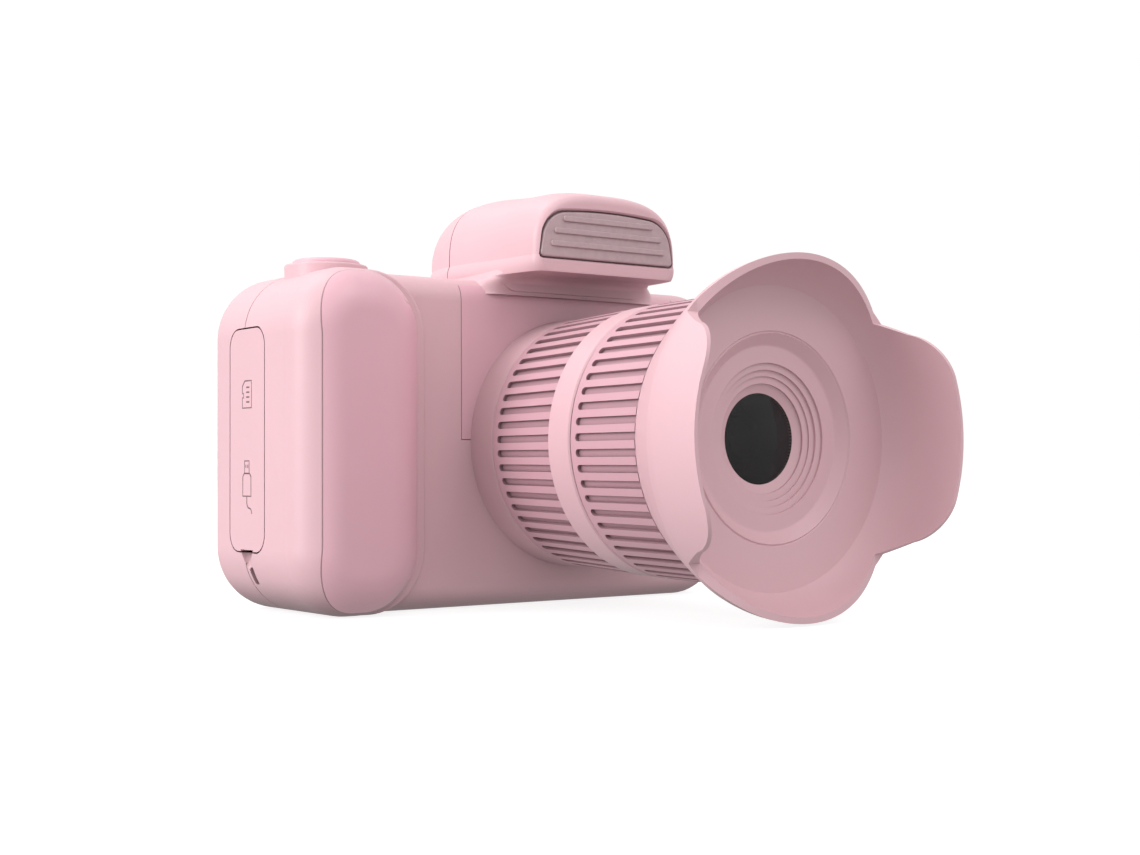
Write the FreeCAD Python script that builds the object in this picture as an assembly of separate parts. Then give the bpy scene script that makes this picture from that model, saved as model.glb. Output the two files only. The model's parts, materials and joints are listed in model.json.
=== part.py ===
import math
import os

import FreeCAD
import Part

# A toy system camera for a child. Millimetres, +Z up, front towards -Y, grip on the -X side.
# The origin is the mouth of the tripod socket, in the base under the lens axis.

# Body
BODY_LEFT = -64.4
BODY_RIGHT = 41.4
BODY_HEIGHT = 63.5
BODY_FRONT = -16.4
BODY_REAR = 17.0
SEAM_Y = -0.9
CORNER_R = 12.0
FRONT_EDGE_R = 4.6
REAR_EDGE_R = 8.0
WALL = 2.0

# Grip
GRIP_FRONT = -24.9
GRIP_RIGHT = -38.1
GRIP_EDGE_R = 8.2
COVER_T = 1.25
COVER_BACK = -17.5
BEAD_RIGHT = -35.3

# Centre panel
PANEL_HALF = 26.7
PANEL_LOW = 32.2
PANEL_T = 1.2

# Lens barrel, measured along Y from the socket axis
AXIS_Z = 31.75
CORE_R = 22.5
CORE_WALL = 2.0
MOUNT_R = 24.55
RING1_REAR = -23.7
RING1_FRONT = -42.8
RING1_R_REAR = 24.5
RING1_R_FRONT = 25.3
BAND_FRONT = -49.2
BAND_R_FRONT = 25.5
RING2_REAR = -49.5
RING2_FRONT = -68.1
RING2_R_REAR = 25.5
RING2_R_FRONT = 25.85
RUN_CLEARANCE = 0.08
GROOVES = 58
GROOVE_DEPTH = 0.7
GROOVE_SHARE = 0.5
GROOVE_PHASE = 0.9

# Hood
HOOD_REAR = -68.4
HOOD_FLOOR_Y = -74.8
HOOD_FLOOR_R = 26.6
SEAT_R = 18.5
SIDE_TIP = -89.7
SIDE_HALF = 20.6
SIDE_TOP_HALF = 17.6
SIDE_TIP_R = 7.0
NOTCH_Y = -78.3
TOP_TIP = -82.6
TOP_TIP_R = 53.0

# Lens face
GLASS_R = 8.0
GLASS_Y = -70.6

# Flash head
HEAD_FRONT = -28.4
HEAD_LOW = 64.3
HEAD_ROUND = 1.9
HEAD_SIDE_LOW = 67.4
HEAD_SEAM_HALF = 19.4
HEAD_REAR = 12.0
HEAD_WALL = 1.8
# Sections along Y: place, half width, top, squareness of the top
HEAD_SECTIONS = (
    (-28.4, 17.2, 79.4, 2.85),
    (-14.0, 18.3, 81.2, 2.88),
    (-3.0, 19.4, 81.8, 2.9),
    (3.5, 18.9, 80.6, 3.1),
    (8.0, 17.6, 78.3, 3.2),
    (HEAD_REAR, 15.6, 75.0, 3.0),
)
WINDOW_HALF = 16.5
WINDOW_LOW = 66.8
WINDOW_TOP = 76.7
WINDOW_DEPTH = 1.3
WINDOW_T = 1.2
# The foot of the head, from the seam on the body up to the sole: level, front, flare, corner
FOOT_LEVELS = (
    (60.6, -17.0, 2.6, 4.0),
    (62.4, -17.2, 2.3, 4.0),
    (63.3, -17.7, 1.9, 4.2),
    (63.9, -18.6, 1.25, 4.6),
    (64.35, -20.2, 0.8, 5.2),
    (65.2, -21.5, 0.35, 6.0),
    (66.4, -21.5, -0.2, 6.0),
)
FOOT_FRONT_FLARE = 1.6
RIBS = ((74.6, 11.1), (72.2, 13.2), (69.7, 14.0))

# Shutter release
SHUTTER_X = -50.65
SHUTTER_Y = -7.0
SHUTTER_CAP_R = 6.4
SHUTTER_BORE_R = 6.7
SHUTTER_RING_R = 7.75
SHUTTER_RING_TOP = 64.8
SHUTTER_TOP = 65.8

# Side door
DOOR_Y = (-9.0, 5.1)
DOOR_Z = (11.6, 52.7)
DOOR_R = 3.4
DOOR_T = 1.5
GAP = 0.3

# Back
SCREEN_X = (-24.0, 28.0)
SCREEN_Z = (12.0, 51.0)
PAD_X = -43.0
PAD_Z = 25.5
PAD_R = 9.5
OK_R = 4.0
KEY_R = 3.2
KEYS = {"power_button": (-50.5, 43.5), "mode_button": (-36.5, 43.5)}
KEY_TRAVEL = 0.6
REAR_LENS_Z = 69.4
REAR_LENS_R = 3.5

# Fine grooves that show where two mouldings meet
SEAM_W = 0.24
SEAM_D = 0.35
COVER_GAP = 0.14

# Fixings
CASE_POSTS = ((-53.5, 9.8), (-40.0, 53.4), (33.2, 9.8), (33.2, 53.7))
BOARD_POSTS = ((-33.0, 18.0), (-33.0, 46.0), (27.5, 18.0), (27.5, 46.0))
BOARD_Y = 3.0
BOARD_T = 1.2
SOCKET_R = 2.65
BUSH_R = 5.0
BUSH_DEPTH = 7.0


def vec(x, y, z):
    return FreeCAD.Vector(x, y, z)


def box(x0, x1, y0, y1, z0, z1):
    return Part.makeBox(x1 - x0, y1 - y0, z1 - z0, vec(x0, y0, z0))


def rod(radius, length, start, direction):
    return Part.makeCylinder(radius, length, vec(*start), vec(*direction))


def rod_y(radius, x, z, y0, y1):
    return rod(radius, y1 - y0, (x, y0, z), (0, 1, 0))


def line(a, b):
    return Part.LineSegment(vec(*a), vec(*b)).toShape()


def arc(a, b, c):
    return Part.Arc(vec(*a), vec(*b), vec(*c)).toShape()


def spline(points):
    curve = Part.BSplineCurve()
    curve.interpolate([vec(*p) for p in points])
    return curve.toShape()


def rounded_outline(x0, x1, z0, z1, r, y):
    k = r * (1.0 - math.sqrt(0.5))
    edges = [
        line((x0 + r, y, z0), (x1 - r, y, z0)),
        arc((x1 - r, y, z0), (x1 - k, y, z0 + k), (x1, y, z0 + r)),
        line((x1, y, z0 + r), (x1, y, z1 - r)),
        arc((x1, y, z1 - r), (x1 - k, y, z1 - k), (x1 - r, y, z1)),
        line((x1 - r, y, z1), (x0 + r, y, z1)),
        arc((x0 + r, y, z1), (x0 + k, y, z1 - k), (x0, y, z1 - r)),
        line((x0, y, z1 - r), (x0, y, z0 + r)),
        arc((x0, y, z0 + r), (x0 + k, y, z0 + k), (x0 + r, y, z0)),
    ]
    return Part.Wire(edges)


def edges_at_y(shape, y):
    found = []
    for edge in shape.Edges:
        b = edge.BoundBox
        if abs(b.YMin - y) < 1e-4 and abs(b.YMax - y) < 1e-4:
            found.append(edge)
    return found


def rounded_block(x0, x1, y0, y1, z0, z1, r, front_r, rear_r):
    """A block along Y with rounded corners in the front view and rounded front and rear edges."""
    block = Part.Face(rounded_outline(x0, x1, z0, z1, r, y0)).extrude(vec(0, y1 - y0, 0))
    if front_r:
        block = block.makeFillet(front_r, edges_at_y(block, y0))
    if rear_r:
        block = block.makeFillet(rear_r, edges_at_y(block, y1))
    return block


def side_plate(x0, x1, y0, y1, z0, z1, r):
    """A plate square to X with rounded corners in the side view."""
    plate = Part.Face(rounded_outline(y0, y1, z0, z1, r, 0)).extrude(vec(0, x1 - x0, 0))
    plate.rotate(vec(0, 0, 0), vec(0, 0, 1), 90)
    plate.translate(vec(x1, 0, 0))
    return plate


def turned(edges):
    """A body turned about the lens axis from a profile given as edges in the (Y, Z) half plane."""
    solid = Part.Face(Part.Wire(edges)).revolve(vec(0, 0, 0), vec(0, 1, 0), 360)
    solid.translate(vec(0, 0, AXIS_Z))
    return solid


def turned_polygon(points):
    """The same, from corner points (radius, Y)."""
    corners = [(0, y, r) for r, y in points]
    pairs = zip(corners, corners[1:] + corners[:1])
    return turned([line(a, b) for a, b in pairs])


def ring(r_in, r_out, y0, y1):
    return turned_polygon([(r_in, y0), (r_out, y0), (r_out, y1), (r_in, y1)])


def save(name, shape):
    shape.exportStep(os.path.join("parts", name + ".step"))


def body_envelope():
    return rounded_block(
        BODY_LEFT, BODY_RIGHT, BODY_FRONT, BODY_REAR, 0, BODY_HEIGHT,
        CORNER_R, FRONT_EDGE_R, REAR_EDGE_R,
    )


def body_cavity():
    return rounded_block(
        BODY_LEFT + WALL, BODY_RIGHT - WALL, BODY_FRONT + WALL, BODY_REAR - WALL,
        WALL, BODY_HEIGHT - WALL, CORNER_R - WALL, FRONT_EDGE_R - WALL, REAR_EDGE_R - WALL,
    )


def grip_envelope():
    return rounded_block(
        BODY_LEFT, GRIP_RIGHT, GRIP_FRONT, SEAM_Y, 0, BODY_HEIGHT, CORNER_R, GRIP_EDGE_R, 0
    )


def grip_core_limit():
    """Everything behind the seam of the grip cover: upright at mid height, swept back above and below."""
    y = GRIP_FRONT + COVER_T
    low = 13.3
    high = 50.2
    top = BODY_HEIGHT + 0.5
    bend = 4.4
    rise = top - high
    r = (rise * rise + bend * bend) / (2.0 * bend)
    half = 0.5 * math.asin(rise / r)
    dy = r * (1.0 - math.cos(half))
    dz = r * math.sin(half)
    x = BODY_LEFT - 1
    edges = [
        line((x, y, low), (x, y, high)),
        arc((x, y, high), (x, y + dy, high + dz), (x, y + bend, top)),
        line((x, y + bend, top), (x, 0, top)),
        line((x, 0, top), (x, 0, -0.5)),
        line((x, 0, -0.5), (x, y + bend, -0.5)),
        arc((x, y + bend, -0.5), (x, y + dy, low - dz), (x, y, low)),
    ]
    right = GRIP_RIGHT - COVER_T
    limit = Part.Face(Part.Wire(edges)).extrude(vec(right - x, 0, 0))
    rounding = box(x - 1, right, y, 1, -5, BODY_HEIGHT + 5)
    corner = [
        e for e in rounding.Edges
        if e.BoundBox.XMin > right - 0.01 and e.BoundBox.YMax < y + 0.01 and e.Length > 20
    ]
    return limit.common(rounding.makeFillet(GRIP_EDGE_R - COVER_T, corner))


def grip_cover():
    front = box(BODY_LEFT - 1, 0, GRIP_FRONT - 1, COVER_BACK, -1, BODY_HEIGHT + 1)
    limit = grip_core_limit()
    limit.translate(vec(0, -COVER_GAP, 0))
    return grip_envelope().common(front).cut(limit)


def grip_bead():
    """The raised foot on the front face that the grip cover stands on."""
    return rounded_block(
        BODY_LEFT, BEAD_RIGHT, COVER_BACK, BODY_FRONT + 3, 0, BODY_HEIGHT, CORNER_R, 0.7, 0
    )


def seam_cutter(inset_body):
    """The hairline groove round the body where front and rear shells meet."""
    half = SEAM_W / 2
    slab = box(-80, 60, SEAM_Y - half, SEAM_Y + half, -5, 90)
    return slab.cut(inset_body)


def inset_body():
    d = SEAM_D
    body = rounded_block(
        BODY_LEFT + d, BODY_RIGHT - d, BODY_FRONT + d, BODY_REAR - d, d, BODY_HEIGHT - d,
        CORNER_R - d, FRONT_EDGE_R - d, REAR_EDGE_R - d,
    )
    return body.fuse(head_loft(d))


def grip_cavity():
    return rounded_block(
        BODY_LEFT + WALL, GRIP_RIGHT - COVER_T - 1.6, GRIP_FRONT + COVER_T + 1.6, SEAM_Y + 1,
        WALL + 1, BODY_HEIGHT - WALL - 1, CORNER_R - WALL, GRIP_EDGE_R - 2.5, 0,
    )


def panel_block(y_back):
    return box(-PANEL_HALF, PANEL_HALF, BODY_FRONT - 1, y_back, PANEL_LOW, BODY_HEIGHT + 1)


def centre_panel():
    gap = COVER_GAP
    slab = box(
        -PANEL_HALF + gap, PANEL_HALF - gap, BODY_FRONT - 1, BODY_FRONT + PANEL_T,
        PANEL_LOW + gap, BODY_HEIGHT + 1,
    )
    panel = body_envelope().common(slab)
    return panel.cut(rod_y(CORE_R, 0, AXIS_Z, BODY_FRONT - 1, BODY_FRONT + 3))


def door_opening():
    return side_plate(
        BODY_LEFT - 1, BODY_LEFT + WALL + 0.1, DOOR_Y[0] - GAP, DOOR_Y[1] + GAP,
        DOOR_Z[0] - GAP, DOOR_Z[1] + GAP, DOOR_R + GAP,
    )


def nail_notch():
    """A half-round scoop under the door, deepest at the door's lower edge."""
    scoop = Part.makeCone(2.6, 0.4, 3.6, vec(BODY_LEFT + 0.2, -1.9, DOOR_Z[0] + 0.3), vec(0.0, 0, -1))
    return scoop


def lanyard_slot():
    return side_plate(BODY_LEFT - 1, BODY_LEFT + 4.0, -3.6, -2.0, 5.5, 8.7, 0.4)


def speaker_slots():
    slots = []
    for i in range(5):
        z = AXIS_Z - 6 + 3 * i
        slots.append(side_plate(BODY_RIGHT - 3, BODY_RIGHT + 1, -6.0, 4.0, z - 0.6, z + 0.6, 0.55))
    slots.append(rod(0.6, 4, (BODY_RIGHT - 3, -1.0, 50.0), (1, 0, 0)))
    return Part.makeCompound(slots)


def shutter_well():
    return rod(SHUTTER_RING_R, 8, (SHUTTER_X, SHUTTER_Y, 57.5), (0, 0, 1))


def bush_space():
    hole = rod(BUSH_R, 3, (0, 0, -0.5), (0, 0, 1))
    return hole


def head_section(y, half, top, power, low):
    """A section of the flash head: flat sole, rounded lower corners, sides and top in one rounded curve."""
    sole = half - 3.2
    a = (sole, y, low)
    b = (half - 0.95, y, low + 0.95)
    rise = top - HEAD_SIDE_LOW
    curve = []
    count = 16
    for i in range(count + 1):
        t = math.pi * i / count
        c = math.cos(t)
        x = half * math.copysign(abs(c) ** (2.0 / power), c)
        z = HEAD_SIDE_LOW + rise * abs(math.sin(t)) ** (2.0 / power)
        curve.append((x, y, z if 0 < i < count else HEAD_SIDE_LOW))
    first = curve[0]
    last = curve[-1]
    edges = [
        line((-sole, y, low), a),
        arc(a, b, first),
        spline(curve),
        arc(last, (-b[0], y, b[2]), (-sole, y, low)),
    ]
    return Part.Wire(edges)


def head_loft(inset=0.0):
    """The whole flash head from front to rear, or the same shape a little smaller."""
    wires = []
    for y, half, top, power in HEAD_SECTIONS:
        if y == HEAD_FRONT:
            y += inset
        if y == HEAD_REAR:
            y -= inset
        low = HEAD_LOW - 1.0 + inset if y < BODY_FRONT else HEAD_LOW - 3.0 + inset
        wires.append(head_section(y, half - inset, top - inset, power, low))
    return Part.makeLoft(wires, True, False)


def front_foot():
    """The concave foot under and beside the front of the head, lofted level by level."""
    wires = []
    for z, front, flare, r in FOOT_LEVELS:
        near = 18.1 + FOOT_FRONT_FLARE * flare
        far = HEAD_SEAM_HALF + flare
        k = r * (1.0 - math.sqrt(0.5))
        edges = [
            line((far, SEAM_Y, z), (-far, SEAM_Y, z)),
            line((-far, SEAM_Y, z), (-near, front + r, z)),
            arc((-near, front + r, z), (-near + k, front + k, z), (-near + r, front, z)),
            line((-near + r, front, z), (near - r, front, z)),
            arc((near - r, front, z), (near - k, front + k, z), (near, front + r, z)),
            line((near, front + r, z), (far, SEAM_Y, z)),
        ]
        wires.append(Part.Wire(edges))
    return Part.makeLoft(wires, True, False)


def rear_foot():
    """The same foot round the rear of the head."""
    wires = []
    for z, front, flare, r in FOOT_LEVELS:
        far = HEAD_SEAM_HALF + flare
        side = (17.7 + flare, 7.0, z)
        bend = (15.6 + 0.75 * flare, 10.3 + 0.75 * flare, z)
        back = (12.0, HEAD_REAR - 0.4 + flare, z)
        edges = [
            line((-far, SEAM_Y, z), (far, SEAM_Y, z)),
            line((far, SEAM_Y, z), side),
            arc(side, bend, back),
            line(back, (-back[0], back[1], z)),
            arc((-back[0], back[1], z), (-bend[0], bend[1], z), (-side[0], side[1], z)),
            line((-side[0], side[1], z), (-far, SEAM_Y, z)),
        ]
        wires.append(Part.Wire(edges))
    return Part.makeLoft(wires, True, False)


def flash_housing(envelope, seam):
    head = head_loft()
    head = head.makeFillet(HEAD_ROUND, edges_at_y(head, HEAD_FRONT))
    head = head.cut(box(-40, 40, -40, BODY_FRONT - 1, 50, HEAD_LOW))
    shell = head.fuse(front_foot())
    shell = shell.common(box(-40, 40, -40, SEAM_Y, 60, 90)).cut(envelope)
    shell = shell.cut(head_loft(HEAD_WALL).common(box(-40, 40, -40, SEAM_Y, 65.8, 90)))
    recess = window_outline(HEAD_FRONT - 0.5, 0.0).extrude(vec(0, 0.5 + WINDOW_DEPTH, 0))
    brim = Part.makeLoft(
        [
            window_outline(HEAD_FRONT - 0.1, -0.45).OuterWire,
            window_outline(HEAD_FRONT + 0.15, -0.2).OuterWire,
            window_outline(HEAD_FRONT + 0.55, 0.0).OuterWire,
        ],
        True,
        False,
    )
    recess = recess.fuse(brim)
    light = window_outline(HEAD_FRONT - 0.5, 1.2).extrude(vec(0, 4, 0))
    return shell.cut(recess).cut(light).cut(seam)


def window_outline(y, inset):
    """The D-shaped window: flat foot, upright sides, broad rounded shoulders."""
    h = WINDOW_HALF - inset
    z0 = WINDOW_LOW + inset
    top = WINDOW_TOP - inset
    r = 0.9
    k = r * (1.0 - math.sqrt(0.5))
    side = (h - 0.5, y, top - 5.5)
    bend = (h - 2.0, y, top - 2.4)
    shoulder = (h - 5.8, y, top - 0.5)
    edges = [
        line((-h + r, y, z0), (h - r, y, z0)),
        arc((h - r, y, z0), (h - k, y, z0 + k), (h, y, z0 + r)),
        line((h, y, z0 + r), side),
        arc(side, bend, shoulder),
        arc(shoulder, (0, y, top), (-shoulder[0], y, shoulder[2])),
        arc((-shoulder[0], y, shoulder[2]), (-bend[0], y, bend[2]), (-side[0], y, side[2])),
        line((-side[0], y, side[2]), (-h, y, z0 + r)),
        arc((-h, y, z0 + r), (-h + k, y, z0 + k), (-h + r, y, z0)),
    ]
    return Part.Face(Part.Wire(edges))


def flash_window():
    back = HEAD_FRONT + WINDOW_DEPTH
    front = back - WINDOW_T
    plate = window_outline(front, 0.3).extrude(vec(0, WINDOW_T, 0))
    plate = plate.makeFillet(0.35, edges_at_y(plate, front))
    for z, half in RIBS:
        rib = rounded_outline(-half, half, z - 0.55, z + 0.55, 0.5, front - 0.4)
        bar = Part.Face(rib).extrude(vec(0, 0.5, 0))
        plate = plate.fuse(bar.makeFillet(0.2, edges_at_y(bar, front - 0.4)))
    return plate.removeSplitter()


def flash_board():
    """A strip of three lamps on a small board, standing behind the window."""
    board = box(-12.3, 12.3, -23.6, -22.4, 65.8, 73.4)
    for x in (-9.0, 0.0, 9.0):
        board = board.fuse(box(x - 1.8, x + 1.8, -24.5, -23.6, 68.4, 72.0))
    return board.removeSplitter()


def rear_head():
    head = head_loft()
    head = head.makeFillet(3.0, edges_at_y(head, HEAD_REAR))
    return head.common(box(-40, 40, SEAM_Y, 40, 60, 90)).fuse(rear_foot())


def post_foot(x):
    """Where a post starts: in the front wall of the body, or in that of the grip."""
    return GRIP_FRONT + COVER_T + 0.8 if x < GRIP_RIGHT - COVER_T - 3 else BODY_FRONT + 1


def front_shell(envelope, cavity, seam):
    half = box(BODY_LEFT - 1, BODY_RIGHT + 1, -60, SEAM_Y, -1, 90)
    grip = grip_envelope()
    behind = box(BODY_LEFT - 1, GRIP_RIGHT + 1, COVER_BACK, SEAM_Y, -1, 90)
    outer = envelope.common(half).fuse(grip_bead())
    outer = outer.fuse(grip.common(behind)).fuse(grip.common(grip_core_limit()))
    shell = outer.cut(cavity).cut(grip_cavity())
    shell = shell.common(half)
    posts = [rod_y(2.7, x, z, post_foot(x), 6.0) for x, z in CASE_POSTS]
    posts += [rod_y(2.3, x, z, BODY_FRONT + 1, BOARD_Y) for x, z in BOARD_POSTS]
    for post in posts:
        shell = shell.fuse(post)
    for x, z in CASE_POSTS:
        shell = shell.cut(rod_y(1.0, x, z, -5.0, 7.0))
    for x, z in BOARD_POSTS:
        shell = shell.cut(rod_y(0.9, x, z, -4.0, 4.0))
    shell = shell.cut(panel_block(BODY_FRONT + PANEL_T))
    shell = shell.cut(rod_y(CORE_R, 0, AXIS_Z, -30, 0))
    shell = shell.cut(rod(3.0, 6, (0, -8, 60), (0, 0, 1))).cut(seam)
    return cut_common_openings(shell).removeSplitter()


def cut_common_openings(shell):
    for tool in (door_opening(), nail_notch(), lanyard_slot(), speaker_slots(), shutter_well()):
        shell = shell.cut(tool)
    return shell.cut(bush_space()).cut(lanyard_bar())


def rear_shell(envelope, cavity, seam):
    half = box(BODY_LEFT - 1, BODY_RIGHT + 1, SEAM_Y, 60, -1, 90)
    hollow = head_loft(HEAD_WALL).common(box(-40, 40, SEAM_Y - 1, 40, 60, 90))
    shell = envelope.common(half).fuse(rear_head()).cut(cavity).cut(hollow)
    for x, z in CASE_POSTS:
        shell = shell.fuse(rod_y(3.4, x, z, 6.0, BODY_REAR - 1))
    for x, z in ((-55.0, 34.5), (-31.5, 34.5)):
        shell = shell.fuse(rod_y(1.5, x, z, 11.2, BODY_REAR - 1))
    for x, z in CASE_POSTS:
        shell = shell.cut(rod_y(1.1, x, z, 5.0, 20.0))
        shell = shell.cut(rod_y(2.4, x, z, 9.0, 20.0))
    shell = shell.cut(screen_block(0.0, BODY_REAR - 1.0, BODY_REAR + 1, 4.0))
    shell = shell.cut(screen_block(3.0, 10.0, BODY_REAR + 1, 1.5))
    shell = shell.cut(rod_y(PAD_R + GAP, PAD_X, PAD_Z, 10, 20))
    for x, z in KEYS.values():
        shell = shell.cut(rod_y(KEY_R + GAP, x, z, 10, 20))
    shell = shell.cut(rod_y(REAR_LENS_R, 0, REAR_LENS_Z, 5, 20)).cut(seam)
    return cut_common_openings(shell).removeSplitter()


def screen_block(inset, y0, y1, r):
    outline = rounded_outline(
        SCREEN_X[0] + inset, SCREEN_X[1] - inset, SCREEN_Z[0] + inset, SCREEN_Z[1] - inset, r, y0
    )
    return Part.Face(outline).extrude(vec(0, y1 - y0, 0))


def groove_cutters(r_rear, r_front, y_rear, y_start, y_end):
    """Lengthwise grooves round a slightly conical ring, round at the rear end and open at the front."""
    r_mid = 0.5 * (r_rear + r_front)
    w = GROOVE_SHARE * 2.0 * math.pi * r_mid / GROOVES
    slope = (r_front - r_rear) / (y_end - y_rear)
    z = r_rear + slope * (y_start - y_rear) - GROOVE_DEPTH
    far = y_start - y_end + 1.0
    edges = [
        line((-w / 2, 0, 0), (-w / 2, -far, 0)),
        line((-w / 2, -far, 0), (w / 2, -far, 0)),
        line((w / 2, -far, 0), (w / 2, 0, 0)),
        arc((w / 2, 0, 0), (0, w / 2, 0), (-w / 2, 0, 0)),
    ]
    cutter = Part.Face(Part.Wire(edges)).extrude(vec(0, 0, 3))
    cutter.rotate(vec(0, 0, 0), vec(1, 0, 0), math.degrees(math.atan(slope)))
    cutter.translate(vec(0, y_start - w / 2, z))
    cutters = []
    for i in range(GROOVES):
        one = cutter.copy()
        one.rotate(vec(0, 0, 0), vec(0, 1, 0), 360.0 * (i + 0.5) / GROOVES + GROOVE_PHASE)
        one.translate(vec(0, 0, AXIS_Z))
        cutters.append(one)
    return Part.makeCompound(cutters)


def rear_grip_ring():
    body = turned_polygon([
        (CORE_R, RING1_REAR), (RING1_R_REAR - 0.2, RING1_REAR), (RING1_R_REAR, RING1_REAR - 0.2),
        (RING1_R_FRONT, RING1_FRONT), (CORE_R, RING1_FRONT),
    ])
    return body.cut(groove_cutters(
        RING1_R_REAR, RING1_R_FRONT, RING1_REAR, RING1_REAR - 1.8, RING1_FRONT
    ))


def barrel_band():
    return turned_polygon([
        (CORE_R, RING1_FRONT), (RING1_R_FRONT, RING1_FRONT),
        (BAND_R_FRONT, BAND_FRONT + 0.3), (BAND_R_FRONT - 0.3, BAND_FRONT), (CORE_R, BAND_FRONT),
    ])


def focus_ring():
    bore = CORE_R + RUN_CLEARANCE
    body = turned_polygon([
        (bore, RING2_REAR), (RING2_R_REAR - 0.3, RING2_REAR), (RING2_R_REAR, RING2_REAR - 0.3),
        (RING2_R_FRONT, RING2_FRONT), (bore, RING2_FRONT),
    ])
    return body.cut(groove_cutters(
        RING2_R_REAR, RING2_R_FRONT, RING2_REAR, RING2_REAR - 1.7, RING2_FRONT
    ))


def barrel_core():
    tube = ring(CORE_R - CORE_WALL, CORE_R, -13.0, -70.0)
    flange = ring(CORE_R - CORE_WALL, CORE_R + 1.8, -14.4, -13.0)
    return tube.fuse(flange).removeSplitter()


def lens_mount():
    return turned_polygon([
        (CORE_R, BODY_FRONT), (MOUNT_R, BODY_FRONT), (RING1_R_REAR - 0.1, RING1_REAR + 0.4),
        (RING1_R_REAR - 0.5, RING1_REAR), (CORE_R, RING1_REAR),
    ])


def hood_profile():
    fold = (0, -76.6, 30.3)
    flank = [fold, (0, -79.6, 31.05), (0, -84.0, 31.4), (0, -91.0, 31.45)]
    inner = [
        (0, -91.0, 30.8), (0, -84.0, 30.45), (0, -79.5, 29.5), (0, HOOD_FLOOR_Y, HOOD_FLOOR_R),
    ]
    foot = (0, HOOD_REAR, 25.95)
    mid = (0, -72.6, 28.35)
    return [
        arc(foot, mid, fold),
        spline(flank),
        line(flank[-1], inner[0]),
        spline(inner),
        line(inner[-1], (0, -74.5, SEAT_R + 0.2)),
        line((0, -74.5, SEAT_R + 0.2), (0, -74.3, SEAT_R)),
        line((0, -74.3, SEAT_R), (0, -72.0, SEAT_R)),
        line((0, -72.0, SEAT_R), (0, -70.0, CORE_R - CORE_WALL)),
        line((0, -70.0, CORE_R - CORE_WALL), (0, -70.0, CORE_R)),
        line((0, -70.0, CORE_R), (0, HOOD_REAR, CORE_R)),
        line((0, HOOD_REAR, CORE_R), foot),
    ]


def side_petals():
    """Both long petals in one prism across the hood, seen from the side."""
    r = SIDE_TIP_R
    x = -40.0
    h = SIDE_HALF
    t = SIDE_TOP_HALF
    right = [
        (x, -60.0, h), (x, NOTCH_Y, h), (x, SIDE_TIP + 0.9 * r, t + 0.8),
        (x, SIDE_TIP + 0.26 * r, t - 0.27 * r), (x, SIDE_TIP, t - r),
    ]
    left = [(px, y, -z) for px, y, z in right]
    edges = [
        line(right[0], right[1]),
        line(right[1], right[2]),
        arc(right[2], right[3], right[4]),
        line(right[4], left[4]),
        arc(left[4], left[3], left[2]),
        line(left[2], left[1]),
        line(left[1], left[0]),
        line(left[0], right[0]),
    ]
    return Part.Face(Part.Wire(edges)).extrude(vec(80, 0, 0))


def top_petals():
    """Both short petals: everything inside a broad upright cylinder."""
    return Part.makeCylinder(TOP_TIP_R, 80, vec(0, TOP_TIP + TOP_TIP_R, -40), vec(0, 0, 1))


def tulip_hood():
    full = Part.Face(Part.Wire(hood_profile())).revolve(vec(0, 0, 0), vec(0, 1, 0), 360)
    keep = box(-40, 40, NOTCH_Y, -60, -40, 40).fuse(side_petals())
    keep = keep.fuse(top_petals().common(box(-40, 40, -95, NOTCH_Y, -40, 40)))
    hood = full.common(keep.removeSplitter())
    hood.translate(vec(0, 0, AXIS_Z))
    return hood


def front_bezel():
    return turned_polygon([
        (GLASS_R, -69.4), (SEAT_R, -69.4), (SEAT_R, -74.3), (SEAT_R - 0.25, -74.5),
        (16.35, -73.05), (16.1, -72.95), (13.2, -73.0),
        (13.2, -72.6), (12.0, -72.5), (12.0, -72.1), (10.9, -72.0), (10.9, -71.7),
        (9.65, -71.6), (9.65, -71.2), (GLASS_R, GLASS_Y),
    ])


def domed_disc(radius, y_back, y_edge, crown):
    """A disc with a spherical front standing crown proud of its edge."""
    ball_r = (radius * radius + crown * crown) / (2.0 * crown)
    ball = Part.makeSphere(ball_r, vec(0, y_edge - crown + ball_r, AXIS_Z))
    return rod_y(radius, 0, AXIS_Z, y_edge - crown - 1, y_back).common(ball)


def front_glass():
    return domed_disc(GLASS_R, -69.4, GLASS_Y, 0.85)


def module_holder():
    r = CORE_R - CORE_WALL
    return turned_polygon([
        (9.0, -69.4), (11.0, -69.4), (11.0, -60.0), (r, -60.0), (r, -58.0), (7.5, -58.0),
        (7.5, -59.2), (9.0, -59.2),
    ])


def camera_module():
    base = box(-4.5, 4.5, -61.0, -57.0, AXIS_Z - 4.5, AXIS_Z + 4.5)
    base = base.fuse(rod_y(4.0, 0, AXIS_Z, -66.5, -61.0))
    return base.cut(rod_y(3.1, 0, AXIS_Z, -67.0, -64.5)).removeSplitter()


def objective_lens():
    return domed_disc(3.1, -64.5, -65.2, 1.0)


def sensor_board():
    board = box(-9, 9, -57.0, -56.0, AXIS_Z - 9, AXIS_Z + 9)
    return board.fuse(box(-4, 4, -56.0, -54.8, AXIS_Z - 7, AXIS_Z - 2)).removeSplitter()


def shutter_ring():
    outer = rod(SHUTTER_RING_R, SHUTTER_RING_TOP - 57.5, (SHUTTER_X, SHUTTER_Y, 57.5), (0, 0, 1))
    top_edge = [e for e in outer.Edges if e.BoundBox.ZMin > SHUTTER_RING_TOP - 0.01]
    outer = outer.makeFillet(0.4, top_edge)
    outer = outer.cut(rod(SHUTTER_BORE_R, 9, (SHUTTER_X, SHUTTER_Y, 59.5), (0, 0, 1)))
    return outer.cut(rod(3.3, 5, (SHUTTER_X, SHUTTER_Y, 56), (0, 0, 1)))


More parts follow.
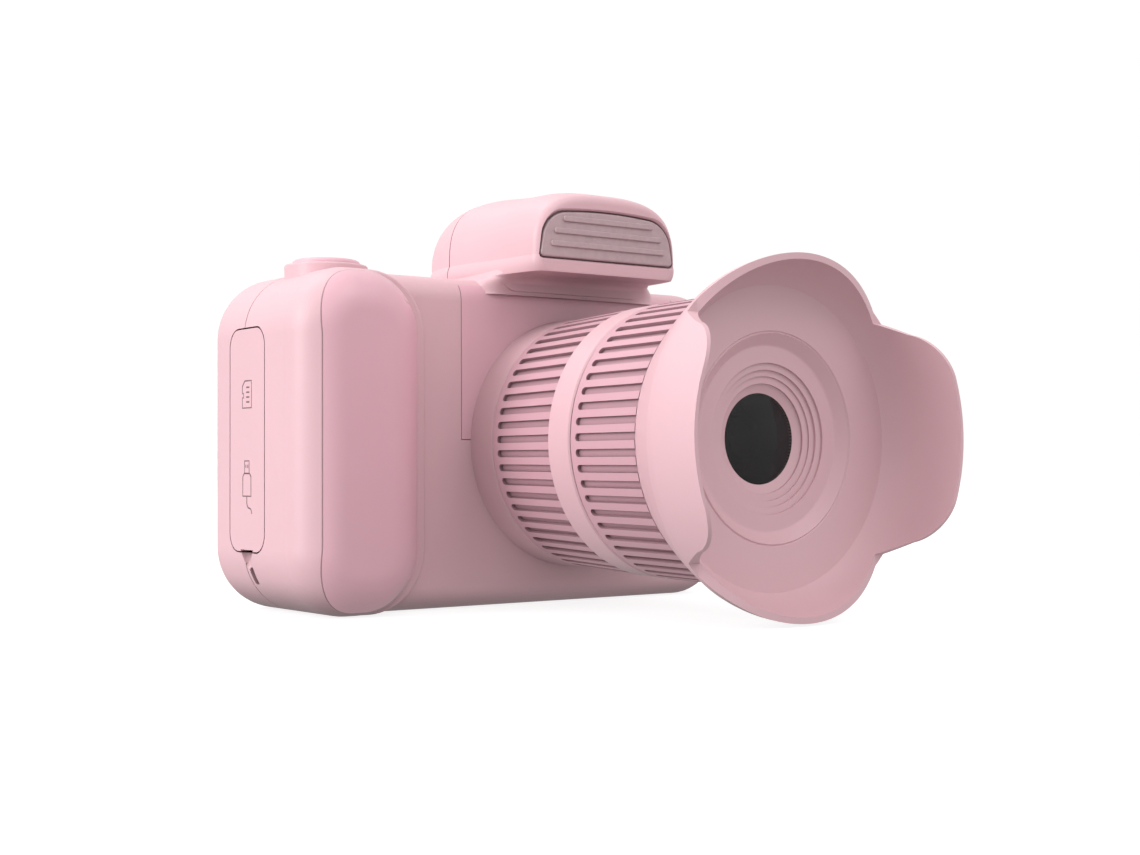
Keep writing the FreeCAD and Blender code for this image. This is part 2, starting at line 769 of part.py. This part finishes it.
def shutter_button():
    cap_low = SHUTTER_TOP - 4.6
    cap = rod(SHUTTER_CAP_R, 4.6, (SHUTTER_X, SHUTTER_Y, cap_low), (0, 0, 1))
    top_edge = [e for e in cap.Edges if e.BoundBox.ZMin > SHUTTER_TOP - 0.01]
    cap = cap.makeFillet(0.9, top_edge)
    return cap.fuse(rod(3.0, 6.4, (SHUTTER_X, SHUTTER_Y, cap_low - 5.2), (0, 0, 1)))


def shutter_board():
    """The small board with the release switch, hung under the button."""
    x, y = SHUTTER_X, SHUTTER_Y
    board = box(x - 7, x + 7, y - 6, y + 6, 50.0, 51.2)
    board = board.fuse(box(x - 3, x + 3, y - 3, y + 3, 51.2, 53.6))
    board = board.fuse(rod(1.6, 0.6, (x, y, 53.6), (0, 0, 1)))
    for dx in (-6.2, 6.2):
        board = board.fuse(box(x + dx - 0.8, x + dx + 0.8, y - 1.5, y + 1.5, 51.2, 57.5))
    return board.removeSplitter()


def port_cover():
    plate = side_plate(
        BODY_LEFT, BODY_LEFT + DOOR_T, DOOR_Y[0], DOOR_Y[1], DOOR_Z[0], DOOR_Z[1], DOOR_R
    )
    return plate.cut(nail_notch())


def port_frame():
    """The plate behind the door, with the mouths of the charging and card sockets."""
    x0 = BODY_LEFT + WALL
    plate = side_plate(x0, x0 + 1.0, DOOR_Y[0] - 2.5, DOOR_Y[1] + 3.0, DOOR_Z[0] + 0.5, DOOR_Z[1] - 1.2, 1.0)
    plate = plate.cut(side_plate(x0 - 1, x0 + 3, -0.6, 2.9, 17.7, 27.3, 1.6))
    return plate.cut(side_plate(x0 - 1, x0 + 3, 0.9, 2.6, 34.0, 47.0, 0.3))


def usb_socket():
    x0 = BODY_LEFT + WALL + 0.9
    shell = side_plate(x0, x0 + 7.4, -0.45, 2.75, 17.95, 27.05, 1.5)
    shell = shell.cut(side_plate(x0 - 1, x0 + 6.2, -0.1, 2.4, 18.3, 26.7, 1.2))
    tongue = box(x0 + 1.2, x0 + 6.4, 0.8, 1.5, 19.2, 25.8)
    feet = box(x0 + 1.5, x0 + 6.5, 2.7, 3.0, 17.95, 27.05)
    return shell.fuse(tongue).fuse(feet).removeSplitter()


def card_socket():
    x0 = BODY_LEFT + WALL + 1.1
    case = box(x0, x0 + 14.5, 0.7, 3.0, 33.0, 48.0)
    return case.cut(box(x0 - 1, x0 + 13.6, 1.15, 2.15, 34.9, 46.1))


def memory_card():
    x0 = BODY_LEFT + WALL + 0.6
    card = box(x0, x0 + 14.0, 1.25, 2.05, 35.1, 45.9)
    card = card.cut(box(x0 + 8.0, x0 + 15, 1.0, 2.3, 44.6, 46.5))
    return card.fuse(box(x0, x0 + 0.8, 2.05, 2.13, 36.5, 44.5)).removeSplitter()


def main_board():
    x0 = BODY_LEFT + WALL + 2.2
    board = box(x0, 31.5, BOARD_Y, BOARD_Y + BOARD_T, 14.5, 49.2)
    board = board.fuse(box(-24, -10, BOARD_Y - 1.4, BOARD_Y, 24, 38))
    board = board.fuse(box(2, 12, BOARD_Y - 1.0, BOARD_Y, 20, 30))
    board = board.fuse(box(-4, 8, BOARD_Y + BOARD_T, BOARD_Y + BOARD_T + 1.2, 34, 46))
    board = board.fuse(box(14, 22, BOARD_Y + BOARD_T, BOARD_Y + BOARD_T + 2.4, 20, 24))
    for i in range(6):
        board = board.fuse(box(-22 + 3.2 * i, -20.4 + 3.2 * i, BOARD_Y - 0.8, BOARD_Y, 18, 19))
    for x, z in BOARD_POSTS:
        board = board.cut(rod_y(1.1, x, z, 2, 6))
    return board.removeSplitter()


def screw(x, z, seat, shank_r, shank, head_r, head):
    """A cross-headed tapping screw driven from the back, head on its seat."""
    body = rod_y(shank_r, x, z, seat - shank, seat)
    top = rod_y(head_r, x, z, seat, seat + head)
    top = top.cut(box(x - 0.25, x + 0.25, seat + 0.5 * head, seat + head + 1, z - 1.2, z + 1.2))
    top = top.cut(box(x - 1.2, x + 1.2, seat + 0.5 * head, seat + head + 1, z - 0.25, z + 0.25))
    return body.fuse(top)


def casing_screws():
    return Part.makeCompound([screw(x, z, 9.0, 1.0, 11.0, 2.1, 1.5) for x, z in CASE_POSTS])


def board_screws():
    seat = BOARD_Y + BOARD_T
    return Part.makeCompound([screw(x, z, seat, 0.9, 6.0, 1.7, 1.2) for x, z in BOARD_POSTS])


def key_board():
    board = box(-57.2, -29.4, 10.0, 11.2, 14.5, 49.0)
    spots = [(PAD_X, PAD_Z)] + list(KEYS.values())
    spots += [(PAD_X + dx, PAD_Z + dz) for dx, dz in ((7, 0), (-7, 0), (0, 7), (0, -7))]
    for x, z in spots:
        board = board.fuse(box(x - 1.6, x + 1.6, 11.2, 11.7, z - 1.6, z + 1.6))
        board = board.fuse(rod_y(0.9, x, z, 11.7, 11.9))
    return board.removeSplitter()


def pad_ring():
    """The four-way pad: a ring cap with a wider lip inside the case."""
    cap = rod_y(PAD_R, PAD_X, PAD_Z, 13.0, BODY_REAR + 1.0)
    rim = [e for e in edges_at_y(cap, BODY_REAR + 1.0)]
    cap = cap.makeFillet(0.8, rim)
    cap = cap.fuse(rod_y(PAD_R + 1.3, PAD_X, PAD_Z, 13.5, 14.7))
    cap = cap.cut(rod_y(OK_R + GAP, PAD_X, PAD_Z, 10, 20))
    for dx, dz in ((7, 0), (-7, 0), (0, 7), (0, -7)):
        cap = cap.fuse(rod_y(1.0, PAD_X + dx, PAD_Z + dz, 12.8, 13.2))
        cap = cap.cut(rod_y(0.7, PAD_X + dx, PAD_Z + dz, BODY_REAR + 0.8, 20))
    return cap.removeSplitter()


def round_key(x, z, radius, top, lip):
    cap = rod_y(radius, x, z, 13.0, top)
    cap = cap.makeFillet(0.6, edges_at_y(cap, top))
    if lip:
        cap = cap.fuse(rod_y(radius + lip, x, z, 13.5, 14.7))
    return cap.fuse(rod_y(1.2, x, z, 12.8, 13.4)).removeSplitter()


def battery():
    return rounded_block(-60.4, -43.6, -19.4, -13.0, 14.0, 49.4, 1.2, 0.8, 0.8)


def battery_pad():
    """Foam between the cell and the front wall of the grip."""
    return box(-56.4, -47.5, -21.4, -19.4, 17.0, 46.0)


def speaker():
    body = rod(9.0, 3.4, (35.6, -2.0, AXIS_Z), (1, 0, 0))
    body = body.fuse(rod(5.0, 1.4, (34.2, -2.0, AXIS_Z), (1, 0, 0)))
    rim = rod(9.0, 0.4, (39.0, -2.0, AXIS_Z), (1, 0, 0)).cut(
        rod(7.8, 1.0, (38.9, -2.0, AXIS_Z), (1, 0, 0)))
    return body.fuse(rim).removeSplitter()


def microphone():
    return rod(2.0, 1.6, (37.8, -1.0, 50.0), (1, 0, 0))


def display_module():
    frame = box(-21.5, 25.5, 12.2, 15.0, 13.0, 50.0)
    glass = box(-19.4, 21.4, 14.9, 16, 16.4, 47.0)
    return frame.cut(glass.common(box(-30, 30, 14.7, 15.1, 10, 60)))


def display_window():
    return screen_block(0.0, BODY_REAR - 1.0, BODY_REAR, 4.0)


def rear_lens_window():
    return rod_y(REAR_LENS_R, 0, REAR_LENS_Z, HEAD_REAR - HEAD_WALL, HEAD_REAR - 0.3)


def rear_camera_module():
    z = REAR_LENS_Z
    body = box(-4.0, 4.0, 2.8, 6.4, z - 3.6, z + 4.0)
    body = body.fuse(rod_y(3.2, 0, z, 6.4, HEAD_REAR - HEAD_WALL))
    return body.fuse(box(-9, 9, 1.8, 2.8, z - 3.6, z + 4.6)).removeSplitter()


def tripod_bush():
    body = rod(BUSH_R, WALL, (0, 0, 0), (0, 0, 1))
    body = body.fuse(rod(BUSH_R + 1.5, BUSH_DEPTH - WALL, (0, 0, WALL), (0, 0, 1)))
    return body.cut(rod(SOCKET_R, BUSH_DEPTH - 0.8, (0, 0, 0), (0, 0, 1))).removeSplitter()


def lanyard_bar():
    """The pin that a wrist strap loops round, inside the slot in the side."""
    return rod(0.7, 7.4, (BODY_LEFT + 3.2, -7.4, 7.0), (0, 1, 0))


def main():
    os.makedirs("parts", exist_ok=True)
    envelope = body_envelope()
    cavity = body_cavity()
    seam = seam_cutter(inset_body())
    save("front_shell", front_shell(envelope, cavity, seam))
    save("rear_shell", rear_shell(envelope, cavity, seam))
    save("flash_housing", flash_housing(envelope, seam))
    plain = (
        grip_cover, centre_panel, flash_window, flash_board, shutter_ring, shutter_button,
        shutter_board, port_cover, port_frame, usb_socket, card_socket, memory_card, lens_mount,
        barrel_core, rear_grip_ring, barrel_band, focus_ring, tulip_hood, front_bezel,
        front_glass, module_holder, camera_module, objective_lens, sensor_board, main_board,
        casing_screws, board_screws, key_board, pad_ring, battery, speaker, microphone,
        battery_pad, display_module, display_window, rear_lens_window, rear_camera_module, tripod_bush,
        lanyard_bar,
    )
    for make in plain:
        save(make.__name__, make())
    save("ok_button", round_key(PAD_X, PAD_Z, OK_R, BODY_REAR + 1.3, 0.0))
    for name, (x, z) in KEYS.items():
        save(name, round_key(x, z, KEY_R, BODY_REAR + 1.0, 1.2))


main()
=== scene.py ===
import json
import math

import bmesh
import bpy
from mathutils import Matrix, Vector


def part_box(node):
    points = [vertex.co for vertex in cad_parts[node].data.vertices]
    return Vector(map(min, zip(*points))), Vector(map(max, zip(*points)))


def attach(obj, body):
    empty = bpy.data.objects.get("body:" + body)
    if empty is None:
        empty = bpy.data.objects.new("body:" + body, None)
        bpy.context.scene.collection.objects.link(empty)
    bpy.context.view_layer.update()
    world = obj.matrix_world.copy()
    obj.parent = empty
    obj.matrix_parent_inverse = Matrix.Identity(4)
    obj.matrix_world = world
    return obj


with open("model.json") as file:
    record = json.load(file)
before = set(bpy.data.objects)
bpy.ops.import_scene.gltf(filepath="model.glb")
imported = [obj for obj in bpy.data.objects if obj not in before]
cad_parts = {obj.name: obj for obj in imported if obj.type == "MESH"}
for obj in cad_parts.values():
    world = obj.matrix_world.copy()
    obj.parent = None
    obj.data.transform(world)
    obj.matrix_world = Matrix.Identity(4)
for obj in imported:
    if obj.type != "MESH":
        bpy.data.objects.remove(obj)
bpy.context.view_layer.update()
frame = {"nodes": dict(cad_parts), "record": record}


# ---------------------------------------------------------------- materials
PALE = (0.80, 0.508, 0.552)
ROSE = (0.83, 0.484, 0.556)
RIB = (0.68, 0.393, 0.450)
FOAM_DARK = (0.012, 0.012, 0.012)
FOAM_LIGHT = (0.05, 0.05, 0.05)

FLECKS = 900.0           # fine flecks, per metre
BRUSH_ACROSS = 900.0     # brush lines, per metre across and along the brushing
BRUSH_ALONG = 25.0
GRAIN = 0.0000045        # height of the moulded grain, metres
OPEN_SAMPLES = 8

# painted shade in corners and grooves: reach in metres, lowest brightness, openness at which the
# colour is whole
SHELL_CORNER_SHADE = (0.014, 0.45, 0.55)
RING_GROOVE_SHADE = (0.0022, 0.15, 0.95)

AXIS_X = 0
AXIS_Z = 2


class Graph:
    """A small helper that wires up one node material."""

    def __init__(self, name):
        self.mat = bpy.data.materials.new(name)
        self.mat.use_nodes = True
        self.nodes = self.mat.node_tree.nodes
        self.links = self.mat.node_tree.links
        self.shader = self.nodes["Principled BSDF"]
        self.coords = self.nodes.new("ShaderNodeTexCoord").outputs["Object"]

    def link(self, a, b):
        self.links.new(a, b)

    def noise(self, scale, detail=3.0, rough=0.5, vector=None):
        n = self.nodes.new("ShaderNodeTexNoise")
        n.inputs["Scale"].default_value = scale
        n.inputs["Detail"].default_value = detail
        n.inputs["Roughness"].default_value = rough
        self.link(vector or self.coords, n.inputs["Vector"])
        return n.outputs["Fac"]

    def stretch(self, x, y, z):
        m = self.nodes.new("ShaderNodeMapping")
        m.inputs["Scale"].default_value = (x, y, z)
        self.link(self.coords, m.inputs["Vector"])
        return m.outputs["Vector"]

    def ramp(self, value, stops):
        r = self.nodes.new("ShaderNodeValToRGB")
        ramp = r.color_ramp
        while len(ramp.elements) < len(stops):
            ramp.elements.new(0.5)
        for e, (pos, col) in zip(ramp.elements, stops):
            e.position = pos
            e.color = (*col, 1.0)
        self.link(value, r.inputs["Fac"])
        return r.outputs["Color"]

    def span(self, value, low, high, from_low=0.0, from_high=1.0):
        m = self.nodes.new("ShaderNodeMapRange")
        m.inputs["From Min"].default_value = from_low
        m.inputs["From Max"].default_value = from_high
        m.inputs["To Min"].default_value = low
        m.inputs["To Max"].default_value = high
        self.link(value, m.inputs["Value"])
        return m.outputs["Result"]

    def scaled(self, colour, level):
        m = self.nodes.new("ShaderNodeVectorMath")
        m.operation = "SCALE"
        self.link(colour, m.inputs["Vector"])
        self.link(level, m.inputs["Scale"])
        return m.outputs["Vector"]

    def sum_of(self, a, b, share):
        """a plus a share of b."""
        m = self.nodes.new("ShaderNodeMath")
        m.operation = "MULTIPLY_ADD"
        self.link(b, m.inputs[0])
        m.inputs[1].default_value = share
        self.link(a, m.inputs[2])
        return m.outputs["Value"]

    def bump(self, height, strength, distance):
        b = self.nodes.new("ShaderNodeBump")
        b.inputs["Strength"].default_value = strength
        b.inputs["Distance"].default_value = distance
        self.link(height, b.inputs["Height"])
        self.link(b.outputs["Normal"], self.shader.inputs["Normal"])

    def open_share(self, distance):
        """How open the surface is within a distance: 0 in a deep corner, 1 on the outside."""
        n = self.nodes.new("ShaderNodeAmbientOcclusion")
        n.samples = OPEN_SAMPLES
        n.inputs["Distance"].default_value = distance
        return n.outputs["AO"]

    def set(self, **values):
        for key, value in values.items():
            name = key.replace("_", " ")
            self.shader.inputs[name].default_value = value


def shade(rgb, k):
    return tuple(min(1.0, c * k) for c in rgb)


def moulded(name, rgb, rough=0.42, spread=0.02, cavity_shade=None):
    """Injection-moulded plastic: fine eroded grain, slow tone drift, gloss that varies with handling.

    The optional last argument gives (reach in metres, lowest brightness, openness at which the colour
    is whole) of the painted shade that darkens the colour in grooves and corners.
    """
    g = Graph(name)
    drift = g.noise(24.0, 4.0, 0.55)
    tone = g.ramp(drift, [(0.30, shade(rgb, 1.0 - spread)), (0.70, shade(rgb, 1.0 + spread))])
    # painted shade: the colour is darkened where nearby geometry closes the surface in
    if cavity_shade:
        reach, lowest, whole = cavity_shade
        level = g.span(g.open_share(reach), lowest, 1.0, 0.0, whole)
        tone = g.scaled(tone, level)
    g.link(tone, g.shader.inputs["Base Color"])
    worn = g.noise(75.0, 5.0, 0.6)
    g.link(g.span(worn, rough - 0.05, rough + 0.06, 0.3, 0.7), g.shader.inputs["Roughness"])
    fine = g.noise(5200.0, 2.0, 0.5)
    broad = g.noise(420.0, 2.0, 0.5)
    g.bump(g.sum_of(fine, broad, 0.6), 0.35, GRAIN)
    g.set(IOR=1.5, Subsurface_Weight=0.04, Subsurface_Radius=(0.0012, 0.0006, 0.0006))
    return g.mat


def metal(name, rgb, rough, axis):
    """Brushed or turned metal, with the brushing along one axis."""
    g = Graph(name)
    scale = [BRUSH_ACROSS] * 3
    scale[axis] = BRUSH_ALONG
    lines = g.noise(1.0, 3.0, 0.6, g.stretch(*scale))
    tone = g.ramp(lines, [(0.3, shade(rgb, 0.86)), (0.7, shade(rgb, 1.08))])
    g.link(tone, g.shader.inputs["Base Color"])
    g.link(g.span(lines, rough - 0.06, rough + 0.08), g.shader.inputs["Roughness"])
    g.bump(lines, 0.3, 0.00001)
    g.set(Metallic=1.0)
    return g.mat


def polished(name, rgb, rough, coat=1.0):
    """Glossy dark plastic or glass with a trace of dust and smears."""
    g = Graph(name)
    smear = g.noise(60.0, 6.0, 0.6, g.stretch(1.0, 1.0, 3.0))
    tone = g.ramp(smear, [(0.35, shade(rgb, 0.8)), (0.75, shade(rgb, 1.25))])
    g.link(tone, g.shader.inputs["Base Color"])
    g.link(g.span(smear, rough * 0.6, rough * 1.8, 0.3, 0.75), g.shader.inputs["Roughness"])
    g.bump(g.noise(FLECKS, 2.0), 0.05, GRAIN)
    g.set(IOR=1.52, Coat_Weight=coat, Coat_Roughness=0.03)
    return g.mat


def lens_glass(name):
    """Smoked, coated glass with faint wipe marks, just clear enough to show the element behind."""
    g = Graph(name)
    wipe = g.noise(70.0, 5.0, 0.6, g.stretch(1.0, 1.0, 2.5))
    tone = g.ramp(wipe, [(0.35, (0.17, 0.165, 0.17)), (0.75, (0.21, 0.20, 0.205))])
    g.link(tone, g.shader.inputs["Base Color"])
    g.link(g.span(wipe, 0.015, 0.05, 0.3, 0.75), g.shader.inputs["Roughness"])
    g.bump(g.noise(FLECKS, 2.0), 0.04, 0.7 * GRAIN)
    g.set(IOR=1.24, Transmission_Weight=0.85)
    return g.mat


def frosted(name, rgb):
    """The diffuser over the lamps: warm grey, finely flecked and a little translucent."""
    g = Graph(name)
    fleck = g.noise(FLECKS, 3.0)
    tone = g.ramp(fleck, [(0.3, shade(rgb, 0.95)), (0.7, shade(rgb, 1.06))])
    g.link(tone, g.shader.inputs["Base Color"])
    g.link(g.span(g.noise(140.0), 0.36, 0.5), g.shader.inputs["Roughness"])
    g.bump(fleck, 0.2, 0.00001)
    g.set(IOR=1.49, Subsurface_Weight=0.1, Subsurface_Radius=(0.001, 0.0008, 0.0008))
    return g.mat


def board(name):
    """Solder mask with fine copper traces under it."""
    g = Graph(name)
    brick = g.nodes.new("ShaderNodeTexBrick")
    brick.inputs["Scale"].default_value = 420.0
    brick.inputs["Mortar Size"].default_value = 0.06
    brick.inputs["Color1"].default_value = (0.012, 0.11, 0.045, 1)
    brick.inputs["Color2"].default_value = (0.016, 0.14, 0.055, 1)
    brick.inputs["Mortar"].default_value = (0.05, 0.30, 0.12, 1)
    g.link(g.coords, brick.inputs["Vector"])
    g.link(brick.outputs["Color"], g.shader.inputs["Base Color"])
    g.link(g.span(g.noise(300.0), 0.28, 0.42), g.shader.inputs["Roughness"])
    g.bump(brick.outputs["Fac"], 0.2, 0.00003)
    return g.mat


def foam(name):
    """Closed-cell foam with small round cells."""
    g = Graph(name)
    cell = g.nodes.new("ShaderNodeTexVoronoi")
    cell.inputs["Scale"].default_value = 1500.0
    g.link(g.coords, cell.inputs["Vector"])
    tone = g.ramp(cell.outputs["Distance"], [(0.0, FOAM_DARK), (0.6, FOAM_LIGHT)])
    g.link(tone, g.shader.inputs["Base Color"])
    g.bump(cell.outputs["Distance"], 0.6, 0.0002)
    g.set(Roughness=0.95)
    return g.mat


MATS = {
    # the pale shell and the ribbed ring carry painted shade in their corners and grooves
    "pale": moulded("pale_pink_moulded", PALE, cavity_shade=SHELL_CORNER_SHADE),
    "rose": moulded("rose_pink_moulded", ROSE, 0.38),
    "rib": moulded("rib_pink_moulded", RIB, 0.45, cavity_shade=RING_GROOVE_SHADE),
    "grey": frosted("window_frosted", (0.56, 0.41, 0.43)),
    "glass": lens_glass("lens_front_glass"),
    "element": polished("lens_element", (0.020, 0.020, 0.021), 0.10, 0.4),
    "screen": polished("screen_black_window", (0.008, 0.008, 0.010), 0.05),
    "black": moulded("black_moulded", (0.02, 0.02, 0.021), 0.5),
    "steel": metal("steel_brushed", (0.60, 0.60, 0.61), 0.3, AXIS_Z),
    "brass": metal("brass_turned", (0.75, 0.56, 0.26), 0.28, AXIS_Z),
    "foil": metal("foil_cell", (0.66, 0.67, 0.69), 0.36, AXIS_X),
    "board": board("board_green"),
    "foam": foam("foam_black"),
    "paint": moulded("grey_pink_paint", (0.20, 0.115, 0.13), 0.5, spread=0.05),
}

SLOT_MATS = {
    "pale_pink_shell": "pale", "rose_pink_trim": "rose", "ring_pink": "rib",
    "window_grey": "grey", "black_glass": "glass", "black_plastic": "black",
    "clear_lens": "element", "screen_window": "screen", "display_frame": "steel",
    "circuit_board": "board", "steel": "steel", "brass": "brass", "cell_wrap": "foil",
    "foam": "foam",
}


def paint(mesh, key):
    mesh.materials.clear()
    mesh.materials.append(MATS[key])


slots = {s["node"]: s["material_slot"] for s in frame["record"]["subparts"]}
for node, obj in frame["nodes"].items():
    paint(obj.data, SLOT_MATS[slots[node]])


# ---------------------------------------------------------------- printed marks
MM = 0.001
STROKE_R = 0.15 * MM
STROKE_FLAT = 0.3        # share of the stroke's radius that stands proud of the face
CARD_MARK_Z = 40.6 * MM
PLUG_MARK_Z = 24.0 * MM


def arc_points(centre, radius, start, end, count):
    """Points along an arc, angles in degrees."""
    points = []
    for i in range(count + 1):
        a = math.radians(start + (end - start) * i / count)
        points.append((centre[0] + radius * math.cos(a), centre[1] + radius * math.sin(a)))
    return points


def mark(name, body, strokes, place, directions):
    """Painted line marks that stand a few hundredths of a millimetre proud of a flat face.

    strokes: (closed, points) in millimetres on the face; place: where the marks' origin goes;
    directions: those of the marks' x, of their y and of the face's outward normal.
    """
    curve = bpy.data.curves.new(name, "CURVE")
    curve.dimensions = "3D"
    curve.bevel_depth = STROKE_R
    curve.bevel_resolution = 3
    curve.use_fill_caps = True
    for closed, points in strokes:
        spline = curve.splines.new("POLY")
        spline.points.add(len(points) - 1)
        for point, (x, y) in zip(spline.points, points):
            point.co = (x * MM, y * MM, 0, 1)
        spline.use_cyclic_u = closed
    draft = bpy.data.objects.new(name + "_draft", curve)
    mesh = bpy.data.meshes.new_from_object(draft)
    bpy.data.objects.remove(draft)
    turn = Matrix(directions).transposed()
    for vertex in mesh.vertices:
        flat = Vector((vertex.co.x, vertex.co.y, vertex.co.z * STROKE_FLAT))
        vertex.co = Vector(place) + turn @ flat
    for polygon in mesh.polygons:
        polygon.use_smooth = True
    obj = bpy.data.objects.new(name, mesh)
    bpy.context.scene.collection.objects.link(obj)
    paint(mesh, "paint")
    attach(obj, body)


def door_marks():
    """A memory card outline and a plug outline on the side door."""
    low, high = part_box("port_cover")
    middle = 0.5 * (low.y + high.y)
    card = [(-2.5, -1.9), (2.5, -1.9), (2.5, 0.9), (1.5, 1.9), (0.2, 1.9), (0.2, 1.4),
            (-0.6, 1.4), (-0.6, 1.9), (-2.5, 1.9)]
    contacts = [(False, [(x, -1.0), (x, 0.2)]) for x in (-1.4, -0.5, 0.4, 1.3)]
    plug = [(-2.2, -1.7), (1.4, -1.7), (2.0, -1.1), (2.0, 1.1), (1.4, 1.7), (-2.2, 1.7)]
    tip = [(2.0, -0.95), (4.3, -0.95), (4.3, 0.95), (2.0, 0.95)]
    pins = [(False, [(3.0, -0.4), (3.6, -0.4)]), (False, [(3.0, 0.4), (3.6, 0.4)])]
    lead = [(-2.2, 0.0), (-3.4, 0.0)] + arc_points((-3.4, -1.0), 1.0, 90, 180, 8)
    lead += arc_points((-5.4, -1.0), 1.0, 0, -90, 8)
    directions = ((0, 0, 1), (0, 1, 0), (-1, 0, 0))
    mark("card_mark", "door", [(True, card)] + contacts,
         (low.x, middle, CARD_MARK_Z), directions)
    mark("plug_mark", "door", [(True, plug), (True, tip), (False, lead)] + pins,
         (low.x, middle, PLUG_MARK_Z), directions)


def key_mark(node, name, body, strokes):
    """A symbol in the middle of a rear key's face."""
    low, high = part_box(node)
    place = (0.5 * (low.x + high.x), high.y, 0.5 * (low.z + high.z))
    mark(name, body, strokes, place, ((-1, 0, 0), (0, 0, 1), (0, 1, 0)))


def key_marks():
    """Plain symbols on the rear keys."""
    ring = arc_points((0, 0), 1.35, 125, 415, 24)
    bar = [(0, 0.5), (0, 1.8)]
    key_mark("power_button", "power_mark", "power", [(False, ring), (False, bar)])
    outline = [(-1.6, -1.1), (1.6, -1.1), (1.6, 1.1), (-1.6, 1.1)]
    play = [(-0.45, -0.6), (0.65, 0.0), (-0.45, 0.6)]
    key_mark("mode_button", "mode_mark", "mode", [(True, outline), (True, play)])
    circle = arc_points((0, 0), 1.2, 0, 345, 23)
    key_mark("ok_button", "ok_mark", "ok", [(True, circle)])


door_marks()
key_marks()


# ---------------------------------------------------------------- floor, backdrop, light, camera
FLOOR_Z = -0.0001        # metres, like all lengths here
FLOOR_R = 3.0
FLOOR_GLOW = 0.82
WALL_R = 2.9
WALL_FOOT = -0.2
WALL_GLOW = 1.0
SKY_LOW = 0.42
SKY_HIGH = 0.88
MIDDLE = (0, -0.03, 0.03)


def stage_paper(name, emission, tone):
    """Matt white paper with a faint mottle, lit a little from within so that it stays pale."""
    g = Graph(name)
    colour = g.ramp(g.noise(6.0), [(0.3, shade(tone, 0.985)), (0.7, tone)])
    g.link(colour, g.shader.inputs["Base Color"])
    g.set(Roughness=0.95, Specular_IOR_Level=0.1)
    g.set(Emission_Color=(1, 1, 1, 1), Emission_Strength=emission)
    return g.mat


def stage_mesh(name, bm, material):
    """A floor or backdrop that the camera sees but that throws no light of its own on the object."""
    mesh = bpy.data.meshes.new(name)
    bm.to_mesh(mesh)
    bm.free()
    obj = bpy.data.objects.new(name, mesh)
    bpy.context.scene.collection.objects.link(obj)
    mesh.materials.append(material)
    obj.visible_diffuse = False
    obj.visible_glossy = False
    return obj


def floor():
    """A round sheet of paper under the camera."""
    bm = bmesh.new()
    bmesh.ops.create_circle(bm, cap_ends=True, segments=96, radius=FLOOR_R)
    bmesh.ops.translate(bm, verts=bm.verts, vec=(0, 0, FLOOR_Z))
    stage_mesh("floor", bm, stage_paper("floor_paper", FLOOR_GLOW, (0.35, 0.35, 0.35)))


def backdrop():
    """A round paper wall that closes the scene on every side and lets the sky's light through."""
    bm = bmesh.new()
    bmesh.ops.create_uvsphere(bm, u_segments=64, v_segments=32, radius=WALL_R)
    below = [v for v in bm.verts if v.co.z < WALL_FOOT]
    bmesh.ops.delete(bm, geom=below, context="VERTS")
    paper = stage_paper("backdrop_paper", WALL_GLOW, (0.02, 0.02, 0.02))
    wall = stage_mesh("backdrop", bm, paper)
    wall.visible_shadow = False


def area(name, location, size, power):
    """A square lamp that points at the middle of the camera."""
    light = bpy.data.lights.new(name, "AREA")
    light.energy = power
    light.size = size
    obj = bpy.data.objects.new(name, light)
    bpy.context.scene.collection.objects.link(obj)
    obj.location = location
    direction = Vector(MIDDLE) - Vector(location)
    obj.rotation_euler = direction.to_track_quat("-Z", "Y").to_euler()


def sky():
    """Soft light from all round: brightest overhead, dimmer from below."""
    world = bpy.data.worlds.new("studio")
    world.use_nodes = True
    nodes = world.node_tree.nodes
    links = world.node_tree.links
    coords = nodes.new("ShaderNodeTexCoord")
    split = nodes.new("ShaderNodeSeparateXYZ")
    span = nodes.new("ShaderNodeMapRange")
    span.interpolation_type = "SMOOTHSTEP"
    span.inputs["From Min"].default_value = -0.35
    span.inputs["From Max"].default_value = 0.45
    span.inputs["To Min"].default_value = SKY_LOW
    span.inputs["To Max"].default_value = SKY_HIGH
    links.new(coords.outputs["Generated"], split.inputs["Vector"])
    links.new(split.outputs["Z"], span.inputs["Value"])
    links.new(span.outputs["Result"], nodes["Background"].inputs["Strength"])
    nodes["Background"].inputs["Color"].default_value = (1, 1, 1, 1)
    bpy.context.scene.world = world


def photo_camera():
    """The place and direction the reference picture was taken from."""
    data = bpy.data.cameras.new("photo_camera")
    data.sensor_width = 36.0
    data.lens = 52.44
    data.clip_start = 0.01
    obj = bpy.data.objects.new("photo_camera", data)
    bpy.context.scene.collection.objects.link(obj)
    forward = Vector((0.59682, 0.80205, 0.02264)).normalized()
    right = Vector((0.80231, -0.59690, -0.00388)).normalized()
    turn = Matrix((right, right.cross(forward), -forward)).transposed().to_4x4()
    obj.matrix_world = Matrix.Translation((-0.19959, -0.28361, 0.02730)) @ turn
    bpy.context.scene.camera = obj


floor()
backdrop()
area("key_left", (-1.33, 0.12, 0.60), 0.6, 8.6)
area("key_low", (-1.40, 0.04, 0.16), 0.3, 3.5)
area("top_soft", (-0.25, 0.45, 1.2), 0.7, 2.5)
area("front_high", (0.33, -0.92, 1.15), 0.7, 3.0)
sky()
photo_camera()
bpy.context.scene.view_settings.view_transform = "Standard"
bpy.context.scene.cycles.diffuse_bounces = 1
